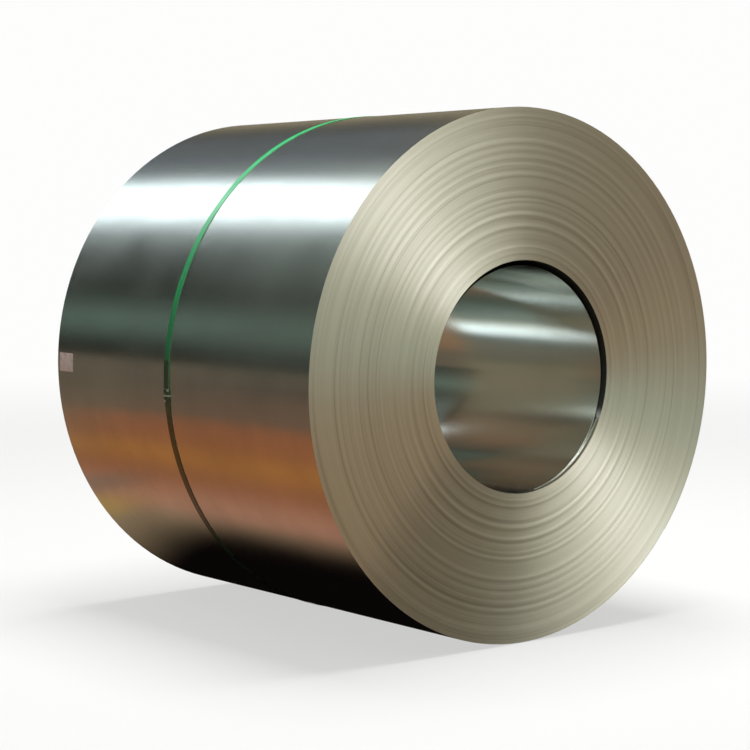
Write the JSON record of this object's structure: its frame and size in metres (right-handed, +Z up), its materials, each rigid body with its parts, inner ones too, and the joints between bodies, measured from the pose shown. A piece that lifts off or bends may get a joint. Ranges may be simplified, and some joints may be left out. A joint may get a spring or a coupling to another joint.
{
  "type": "steel coil",
  "caption": "Coil of zinc-coated steel strip lying on its side: a thick cylinder of wound strip with a round eye along its axis, held by one plastic strap.",
  "frame": {"origin": "on the floor, straight under the coil's axis, halfway between the front end and the back edge of the slipped innermost turn", "axes": "+Z up, +Y along the coil's axis from the front end to the back end, +X to the right when facing the front end"},
  "size_m": [1.2, 1.041, 1.1981],
  "materials": {
    "strip": "zinc-coated cold-rolled strip, semi-bright on the outer wrap and satin on the cut edges",
    "strap": "extruded green strapping, lightly embossed",
    "seal": "crimped sheet-metal seal, dull",
    "paper": "blank matt sticker"
  },
  "bodies": {
    "root": {"coil": "strip", "strap": "strap", "strap_seal": "seal", "label": "paper"}
  },
  "joints": []
}
